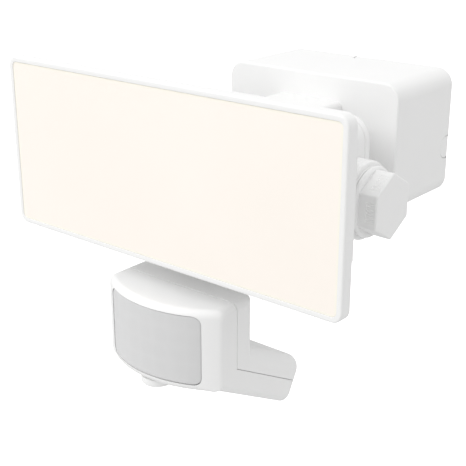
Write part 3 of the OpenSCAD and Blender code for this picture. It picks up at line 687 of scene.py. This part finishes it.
def make_barrel(node, side):
    """Round end of the hinge housing, with a groove near its rim and a spigot inwards."""
    low, high, size, _ = span(node)
    shaft = span("tilt_shaft")[3]
    r = size.y / 2
    inner, outer = sorted((abs(low.x), abs(high.x)))
    root = span("bracket_rear_shell")[1].x
    bush_r = span("tilt_bushes")[2].y / 2
    profile = [(bush_r, inner), (SPIGOT_R, inner), (SPIGOT_R, root + 0.02 * MM)]
    profile += [(r - 0.4 * MM, root + 0.02 * MM), (r, root + 0.5 * MM)]
    profile += [(r, outer - 4.4 * MM), (r - 0.5 * MM, outer - 3.9 * MM)]
    profile += [(r - 0.5 * MM, outer - 3.3 * MM), (r, outer - 2.8 * MM)]
    profile += [(r - inset, y) for inset, y in round_row(0, outer, 1.6 * MM, 1, -1, 6)]
    profile += [(bush_r, outer)]
    piece = turned("barrel", profile, (0, shaft.y, shaft.z), (side, 0, 0), 96, ring=True)
    return place(piece, node)


def hexagon(side, x, inset=0, ridged=False):
    """One section of a knob's grip. Where it is ridged, every flat carries seven shallow grooves."""
    shaft = span("tilt_shaft")[3]
    apothem = HEX_CORNER_R * math.cos(math.radians(30)) - inset
    half = apothem * math.tan(math.radians(30)) - HEX_EDGE_R * 0.55
    flat_steps, corner_steps = 72, 4
    points = []
    for flat in range(6):
        turn = math.radians(60 * flat)
        for k in range(flat_steps + 1):
            t = -half + 2 * half * k / flat_steps
            wave = 0.5 - 0.5 * math.cos(2 * math.pi * t / RIDGE_PITCH)
            groove = RIDGE_DEPTH * (1 - wave) if ridged and abs(t) < RIDGE_REACH else 0
            points.append((apothem - groove, t, turn))
        for k in range(1, corner_steps):
            swing = math.radians(60 * k / corner_steps)
            points.append((apothem - HEX_EDGE_R + HEX_EDGE_R * math.cos(swing),
                           half + HEX_EDGE_R * math.sin(swing), turn))
    return [Vector((side * x, shaft.y + a * math.cos(g) - t * math.sin(g),
                    shaft.z + a * math.sin(g) + t * math.cos(g)))
            for a, t, g in points]


def make_knob(node, side):
    """Round flange and hexagonal grip with lengthwise ridges on its flats."""
    low, high, size, _ = span(node)
    shaft = span("tilt_shaft")[3]
    inner, outer = sorted((abs(low.x), abs(high.x)))
    flange_r = size.y / 2
    flange_t = 3 * MM
    bore_r = span("tilt_shaft")[2].y / 2 + FIT
    ring = [(bore_r, inner), (flange_r - 0.6 * MM, inner)]
    for a in range(20, 161, 20):
        out, along = math.sin(math.radians(a)), math.cos(math.radians(a))
        ring.append((flange_r - 1.0 * MM + 1.0 * MM * out, inner + 1.4 * MM - 1.2 * MM * along))
    ring += [(flange_r - 1.4 * MM, inner + flange_t), (bore_r, inner + flange_t)]
    flange = turned("flange", ring, (0, shaft.y, shaft.z), (side, 0, 0), 96, ring=True)
    sections = [hexagon(side, inner + flange_t - 0.5 * MM, 0.2 * MM), hexagon(side, outer - 7.0 * MM)]
    sections += [hexagon(side, x, ridged=True) for x in (outer - 6.7 * MM, outer - 1.7 * MM)]
    sections += [hexagon(side, outer - 1.4 * MM)]
    sections += [hexagon(side, x, inset) for inset, x in round_row(0, outer, 1.1 * MM, 1, -1)[1:]]
    grip = loft("grip", sections)
    drill(grip, (0, shaft.y, shaft.z), (side, 0, 0), bore_r, inner, outer - 4 * MM)
    return place(join("knob", [flange, grip]), node, 25)


# ---------------------------------------------------------------- sensor

def inward_offset(corners, offsets):
    """Moves every edge of a polygon inwards by its own distance and returns the new corners."""
    count = len(corners)
    pairs = [(corners[i], corners[(i + 1) % count]) for i in range(count)]
    turn = 1 if sum(a.x * b.y - b.x * a.y for a, b in pairs) > 0 else -1
    lines = []
    for i in range(count):
        way = (corners[(i + 1) % count] - corners[i]).normalized()
        normal = Vector((-way.y, way.x)) * turn
        lines.append((corners[i] + normal * offsets[i], way))
    moved = []
    for i in range(count):
        p, d = lines[i - 1]
        q, e = lines[i]
        cross = d.x * e.y - d.y * e.x
        s = ((q - p).x * e.y - (q - p).y * e.x) / cross
        moved.append(p + d * s)
    return moved


def rounded(corners, radii, steps=6):
    """Replaces every corner of a polygon with an arc."""
    points = []
    for i, v in enumerate(corners):
        a, b = corners[i - 1], corners[(i + 1) % len(corners)]
        u, w = (a - v), (b - v)
        room = 0.46 * min(u.length, w.length)
        u, w = u.normalized(), w.normalized()
        half = math.acos(max(-1, min(1, u.dot(w)))) / 2
        reach = min(radii[i] / math.tan(half), room)
        radius = reach * math.tan(half)
        centre = v + (u + w).normalized() * (radius / math.sin(half))
        start, end = v + u * reach - centre, v + w * reach - centre
        sweep = math.atan2(start.x * end.y - start.y * end.x, start.dot(end))
        for k in range(steps + 1):
            g = sweep * k / steps
            points.append(centre + Vector((start.x * math.cos(g) - start.y * math.sin(g),
                                           start.x * math.sin(g) + start.y * math.cos(g))))
    return points


@functools.cache
def sensor_outline():
    """Named corners of the sensor's side outline in the Y-Z plane."""
    front_low, front_high, _, _ = span("sensor_front_shell")
    rear_low, rear_high, _, _ = span("sensor_rear_shell")
    top, bottom = front_high.z, span("dial_collar")[1].z
    seam = rear_low.y
    nose = front_low.y
    back = span("sensor_screws")[1].y + SCREW_SINK
    half = (front_high.x - front_low.x) / 2
    cheek = nose + SENSOR_FRONT_R - math.sqrt(SENSOR_FRONT_R ** 2 - half ** 2)
    slope = math.tan(SENSOR_ARM_SLOPE)
    shoulder = Vector((back, top - SENSOR_ARM_DROP))
    heel = Vector((rear_high.y, shoulder.y - slope * (rear_high.y - back)))
    belly = Vector((cheek, bottom))
    thickness = (shoulder.y - (bottom - slope * (back - cheek))) * math.cos(SENSOR_ARM_SLOPE)
    toe = heel - Vector((math.sin(SENSOR_ARM_SLOPE), math.cos(SENSOR_ARM_SLOPE))) * thickness
    middle_end = (heel + toe) / 2
    joint = Vector((seam, middle_end.y + slope * (middle_end.x - seam)))
    return {"nose": nose, "top": top, "bottom": bottom, "seam": seam, "back": back, "half": half,
            "shoulder": shoulder, "heel": heel, "toe": toe, "belly": belly, "end": middle_end, "joint": joint}


def sensor_shell(name, corners, radii, kinds, wall=0):
    """Skins a shell from side to side, drawn in by wall. kinds says how each edge is rounded."""
    half = sensor_outline()["half"] - wall
    fillets = {"face": 4.5 * MM, "arm": 8 * MM, "front": 1.4 * MM}
    fillets = {kind: max(radius - wall, 0.3 * MM) for kind, radius in fillets.items()}

    def edge_inset(x, radius):
        """How far a rounded edge draws a face in at x."""
        past = max(abs(x) - (half - radius), 0)
        return radius - math.sqrt(max(radius ** 2 - past ** 2, 0))

    steps, count = 14, 30
    widest = max(fillets.values())
    ends = [half - widest + widest * math.sin(math.radians(90 * k / steps)) for k in range(steps, 0, -1)]
    fine = [half - fillets["front"] * (1 - math.cos(math.radians(18 * k))) for k in range(1, 5)]
    ends = sorted({*ends, *fine}, reverse=True)
    inner = half - widest
    stations = ends + [inner - 2 * inner * k / count for k in range(count + 1)] + [-x for x in reversed(ends)]
    loops = []
    for x in stations:
        bulge = SENSOR_FRONT_R - math.sqrt((SENSOR_FRONT_R - wall) ** 2 - x * x)
        drawn = {kind: edge_inset(x, radius) + wall for kind, radius in fillets.items()}
        drawn["front"] += bulge - wall
        drawn["joint"] = SEAM
        moved = inward_offset(corners, [drawn[kind] for kind in kinds])
        sizes = [max(r - 0.6 * drawn["face"], 0.25 * MM) for r in radii]
        loops.append([Vector((x, p.x, p.y)) for p in rounded(moved, sizes)])
    return loft(name, loops)


def window_prism(grow, y0, y1):
    """The window's outline, grown all round, as a prism that cuts its hole."""
    _, _, size, mid = span("pir_lens")
    w, h = size.x + 2 * grow, size.z + 2 * grow
    return loft("window", [rect_loop(w, h, WINDOW_R + grow, y, (mid.x, mid.z), 8) for y in (y0, y1)])


def on_front(point, depth):
    """Moves a point to lie depth behind the sensor's curved front."""
    nose = sensor_outline()["nose"]
    radius = SENSOR_FRONT_R - depth
    return Vector((point.x, nose + SENSOR_FRONT_R - math.sqrt(radius ** 2 - point.x ** 2), point.z))


def sensor_hollow():
    """The space inside both of the sensor's shells."""
    o = sensor_outline()
    corners = [Vector((o["nose"], o["top"])), Vector((o["nose"], o["bottom"])), o["belly"], o["toe"],
               o["heel"], o["shoulder"], Vector((o["back"], o["top"]))]
    radii = [HOLLOW_R, HOLLOW_R, BELLY_R, TOE_R, HEEL_R, SHOULDER_R, BACK_TOP_R]
    kinds = ["front", "face", "face", "face", "arm", "face", "face"]
    return sensor_shell("hollow", corners, radii, kinds, THIN)


def pin_ears(stem, pin):
    """Two cheeks inside the rear shell that hold the hinge pin, one on each side of the slot."""
    o = sensor_outline()
    front, back = stem.y - 9 * MM, stem.y + 9 * MM
    roof = [o["shoulder"].y - math.tan(SENSOR_ARM_SLOPE) * (y - o["back"]) - 1 * MM for y in (back, front)]
    outline = [(front, pin.z - 8 * MM), (back, pin.z - 8 * MM), (back, roof[0]), (front, roof[1])]
    ears = []
    for side in (-1, 1):
        ear = outline_piece("ear", outline, side * 6.7 * MM, side * 13.3 * MM, 0.5 * MM)
        ears.append(drill(ear, pin, (1, 0, 0), span("hinge_pin")[2].y / 2 + FIT, -15 * MM, 15 * MM, 48))
    return ears


def make_sensor_front():
    """Front shell with the curved face, the window's hole and the dial's hole."""
    o = sensor_outline()
    corners = [Vector((o["seam"], o["top"])), Vector((o["nose"], o["top"])),
               Vector((o["nose"], o["bottom"])), o["belly"], o["toe"], o["end"], o["joint"]]
    radii = [CRISP_R, FRONT_TOP_R, FRONT_LOW_R, BELLY_R, TOE_R, CRISP_R, CRISP_R]
    kinds = ["face", "front", "face", "face", "face", "joint", "joint"]
    front = sensor_shell("front", corners, radii, kinds)
    hole = window_prism(0.2 * MM, o["nose"] - 5 * MM, o["nose"] + 16 * MM)
    combine(front, [sensor_hollow(), hole], "DIFFERENCE")
    dial = span("control_dial")[3]
    drill(front, (dial.x, dial.y, 0), (0, 0, 1), 6 * MM, o["bottom"] - 1 * MM, o["bottom"] + THIN + 1 * MM)
    place(front, "sensor_front_shell", 28)


def make_sensor_rear():
    """Rear shell with the slot for the swivel, the ears for its pin and the screws' pockets."""
    o = sensor_outline()
    corners = [Vector((o["seam"], o["top"])), o["joint"], o["end"], o["heel"], o["shoulder"],
               Vector((o["back"], o["top"]))]
    radii = [CRISP_R, CRISP_R, CRISP_R, HEEL_R, SHOULDER_R, BACK_TOP_R]
    rear = sensor_shell("rear", corners, radii, ["joint", "joint", "face", "arm", "face", "face"])
    stem, pin = span("sensor_stem")[3], span("hinge_pin")[3]
    slot = cutter_box((-6.6 * MM, stem.y - 12.5 * MM, pin.z - 12 * MM),
                      (6.6 * MM, stem.y + 16 * MM, pin.z + 40 * MM))
    low, high, _, _ = span("sensor_screws")
    head_r = 2.8 * MM
    pocket_r = head_r + 0.4 * MM
    depths = [(pocket_r, o["back"] - 2.2 * MM), (pocket_r, o["back"] + 3 * MM)]
    pockets = [turned("pocket", depths, (x, 0, z), (0, 1, 0), 40)
               for x in (low.x + head_r, high.x - head_r) for z in (low.z + head_r, high.z - head_r)]
    combine(rear, [sensor_hollow(), slot, *pockets], "DIFFERENCE")
    place(join("rear", [rear, *pin_ears(stem, pin)]), "sensor_rear_shell", 28)


def make_window():
    """Curved window with rounded edges, set just behind the front."""
    _, _, size, mid = span("pir_lens")
    sunk = 0.3 * MM

    def outline(inset, radius, depth):
        """One loop of the window, bent onto the sensor's curved front."""
        loop = rect_loop(size.x - 2 * inset, size.z - 2 * inset, radius, 0, (mid.x, mid.z), 8, 24)
        return [on_front(p, depth) for p in loop]

    rows = [(0.3 * MM, WINDOW_BACK), (0.2 * MM, 1.2 * MM), (0.25 * MM, 0.75 * MM)]
    rows += [(0.5 * MM, 0.4 * MM), (1.1 * MM, sunk)]
    rows += [(k * size.z / 2 / 8, sunk) for k in range(1, 8)]
    loops = [outline(3 * MM, 3 * MM, WINDOW_BACK)]
    loops += [outline(inset, max(WINDOW_R - inset, 0.4 * MM), depth) for inset, depth in rows]
    piece = loft("lens", loops)
    work = bmesh.new()
    work.from_mesh(piece.data)
    big = [f for f in work.faces if len(f.verts) > 4]
    bmesh.ops.triangulate(work, faces=big)
    work.to_mesh(piece.data)
    work.free()
    place(piece, "pir_lens", 30)


def make_stem():
    """Flanged tube with a spigot at each end and a bore for the sensor's leads."""
    low, high, _, mid = span("sensor_stem")
    foot = span("sensor_swivel")[1].z + 0.3 * MM
    top = span("driver_cover")[0].z
    rows = [(LEAD_R, low.z), (STEM_SPIGOT_R, low.z), (STEM_SPIGOT_R, foot)]
    rows += [(6.4 * MM, foot), (7 * MM, foot + 0.6 * MM), (7 * MM, top - 6.2 * MM)]
    rows += [(7.3 * MM, top - 5.2 * MM), (8.2 * MM, top - 4.3 * MM), (9.4 * MM, top - 4 * MM)]
    rows += [(10 * MM, top - 3.4 * MM), (10 * MM, top - 0.5 * MM), (9.5 * MM, top - 0.02 * MM)]
    rows += [(STEM_SPIGOT_R, top - 0.02 * MM), (STEM_SPIGOT_R, high.z), (LEAD_R, high.z)]
    place(turned("stem", rows, (mid.x, mid.y, 0), (0, 0, 1), 64, ring=True), "sensor_stem")


def make_swivel():
    """Grooved collar that turns on the stem, with a tongue for the hinge pin."""
    _, high, _, mid = span("sensor_swivel")
    pin = span("hinge_pin")[3]
    collar_low = pin.z + 25 * MM
    bore_r, bore_low = STEM_SPIGOT_R + FIT, collar_low + 2.7 * MM
    rows = [(bore_r, bore_low), (bore_r, high.z), (9.2 * MM, high.z), (10 * MM, high.z - 0.8 * MM)]
    rows += [(10 * MM, high.z - 3 * MM), (9.5 * MM, high.z - 3.4 * MM)]
    rows += [(9.5 * MM, high.z - 4 * MM), (10 * MM, high.z - 4.4 * MM)]
    rows += [(10 * MM, collar_low + 1.2 * MM), (8.9 * MM, collar_low), (STEM_SPIGOT_R, collar_low)]
    collar = turned("collar", rows, (mid.x, mid.y, 0), (0, 0, 1), 64)
    outline = [(mid.y + 6.5 * MM, collar_low + 0.8 * MM), (mid.y - 6.5 * MM, collar_low + 0.8 * MM)]
    outline += arc_points((mid.y, pin.z), 8 * MM, 144, 396, 28)
    tongue = outline_piece("tongue", outline, -5 * MM, 5 * MM, 0.8 * MM)
    pin_r = span("hinge_pin")[2].y / 2
    drill(tongue, pin, (1, 0, 0), pin_r + FIT, -6 * MM, 6 * MM, 48)
    place(join("swivel", [collar, tongue]), "sensor_swivel")


def make_dial_collar():
    """Rounded ring under the sensor, which the dial sits in."""
    low, high, size, mid = span("dial_collar")
    r = size.x / 2
    rows = [(7.3 * MM, high.z), (r - 0.1 * MM, high.z), (r, high.z - 0.6 * MM)]
    rows += [(r - inset, z) for inset, z in round_row(0, low.z, 1.2 * MM, 1, 1, 6)]
    rows += [(7.8 * MM, low.z), (7.3 * MM, low.z + 0.4 * MM)]
    place(turned("collar", rows, (mid.x, mid.y, 0), (0, 0, 1), 80, ring=True), "dial_collar")


def make_dial():
    """Knurled dial on its shaft, with a slot for a screwdriver."""
    low, high, size, mid = span("control_dial")
    r = size.x / 2
    top = span("dial_collar")[1].z - 0.6 * MM
    steps, teeth, shaft_r = 96, 24, 2.5 * MM
    rows = [(shaft_r, high.z, 0), (shaft_r, top, 0), (r - 0.5 * MM, top, 0), (r, top - 0.5 * MM, 0)]
    rows += [(r, low.z + 2.6 * MM, 0), (r, low.z + 2.2 * MM, 1), (r, low.z + 0.9 * MM, 1)]
    rows += [(r - 0.3 * MM, low.z + 0.3 * MM, 0.5), (r - 0.9 * MM, low.z, 0)]
    sections = []
    for radius, z, knurl in rows:
        loop = []
        for k in range(steps):
            a = 2 * math.pi * k / steps
            reach = radius - 0.35 * MM * knurl * (0.5 + 0.5 * math.cos(teeth * a))
            loop.append(Vector((mid.x + reach * math.cos(a), mid.y + reach * math.sin(a), z)))
        sections.append(loop)
    dial = loft("dial", sections)
    slot = cutter_box((mid.x - 5 * MM, mid.y - 0.9 * MM, low.z - 1 * MM),
                      (mid.x + 5 * MM, mid.y + 0.9 * MM, low.z + 1.2 * MM))
    combine(dial, [slot], "DIFFERENCE")
    place(dial, "control_dial", 28)


make_bezel()
make_diffuser()
make_tray()
make_driver_cover()
make_arm("tilt_arm_left")
make_arm("tilt_arm_right")
make_box()
make_knockouts()
make_neck()
make_hinge_shells()
make_barrel("barrel_left", -1)
make_barrel("barrel_right", 1)
make_knob("tilt_knob_left", -1)
make_knob("tilt_knob_right", 1)
make_sensor_front()
make_sensor_rear()
make_window()
make_stem()
make_swivel()
make_dial_collar()
make_dial()


# ---------------------------------------------------------------- studio

CAMERA_AT = Vector((372.6, -597.8, 168.5)) * MM
CAMERA_AZIMUTH = math.radians(39.65)
CAMERA_PITCH = math.radians(20.24)      # down
CAMERA_LENS = 77.1


def make_stage():
    """Large pale floor well below the light, which hangs on a wall. It shows as plain white."""
    floor_z = CAD_BOX[0].z - 0.35
    size = 40.0
    floor = cutter_box((-size, -size, floor_z - 0.02), (size, size, floor_z))
    floor.name = "studio_floor"
    mat, nodes, links, shader = new_material("studio_floor", (0.66, 0.66, 0.66), 0.9)
    shader.inputs["Emission Color"].default_value = (1, 1, 1, 1)
    path = nodes.new("ShaderNodeLightPath")
    links.new(path.outputs["Is Camera Ray"], shader.inputs["Emission Strength"])
    floor.data.materials.append(mat)


def area_light(name, place_at, aim, size, watts):
    """Round white softbox that faces a point."""
    lamp = bpy.data.lights.new(name, "AREA")
    lamp.shape = "DISK"
    lamp.size = size
    lamp.energy = watts
    holder = bpy.data.objects.new(name, lamp)
    holder.location = place_at
    holder.rotation_mode = "QUATERNION"
    holder.rotation_quaternion = (Vector(place_at) - Vector(aim)).to_track_quat("Z", "Y")
    bpy.context.scene.collection.objects.link(holder)


def make_world(strength):
    """Even white surroundings; the camera sees them as plain white."""
    world = bpy.data.worlds.new("studio")
    bpy.context.scene.world = world
    world.use_nodes = True
    nodes, links = world.node_tree.nodes, world.node_tree.links
    background = nodes["Background"]
    background.inputs["Color"].default_value = (1, 1, 1, 1)
    path = nodes.new("ShaderNodeLightPath")
    level = nodes.new("ShaderNodeMapRange")
    level.inputs["To Min"].default_value = strength
    level.inputs["To Max"].default_value = 1.2
    links.new(path.outputs["Is Camera Ray"], level.inputs["Value"])
    links.new(level.outputs["Result"], background.inputs["Strength"])


def make_camera():
    """Three-quarter view from the front right and above."""
    azimuth, pitch = CAMERA_AZIMUTH, CAMERA_PITCH
    data = bpy.data.cameras.new("camera")
    data.sensor_width = 36
    data.lens = CAMERA_LENS
    camera = bpy.data.objects.new("camera", data)
    level = math.cos(pitch)
    look = Vector((-math.sin(azimuth) * level, math.cos(azimuth) * level, -math.sin(pitch)))
    camera.location = CAMERA_AT
    camera.rotation_mode = "QUATERNION"
    camera.rotation_quaternion = look.to_track_quat("-Z", "Y")
    bpy.context.scene.collection.objects.link(camera)
    bpy.context.scene.camera = camera


make_stage()
make_world(0.87)
area_light("key", (-0.9, -1.5, 1.45), (0, -0.12, 0), 1.8, 22.5)
area_light("fill", (1.6, -0.5, 0.2), (0, -0.12, 0), 1.4, 1.0)
area_light("back", (0.6, 1.3, 1.2), (0, -0.12, -0.05), 1.2, 2.5)
make_camera()
bpy.context.scene.view_settings.view_transform = "Standard"
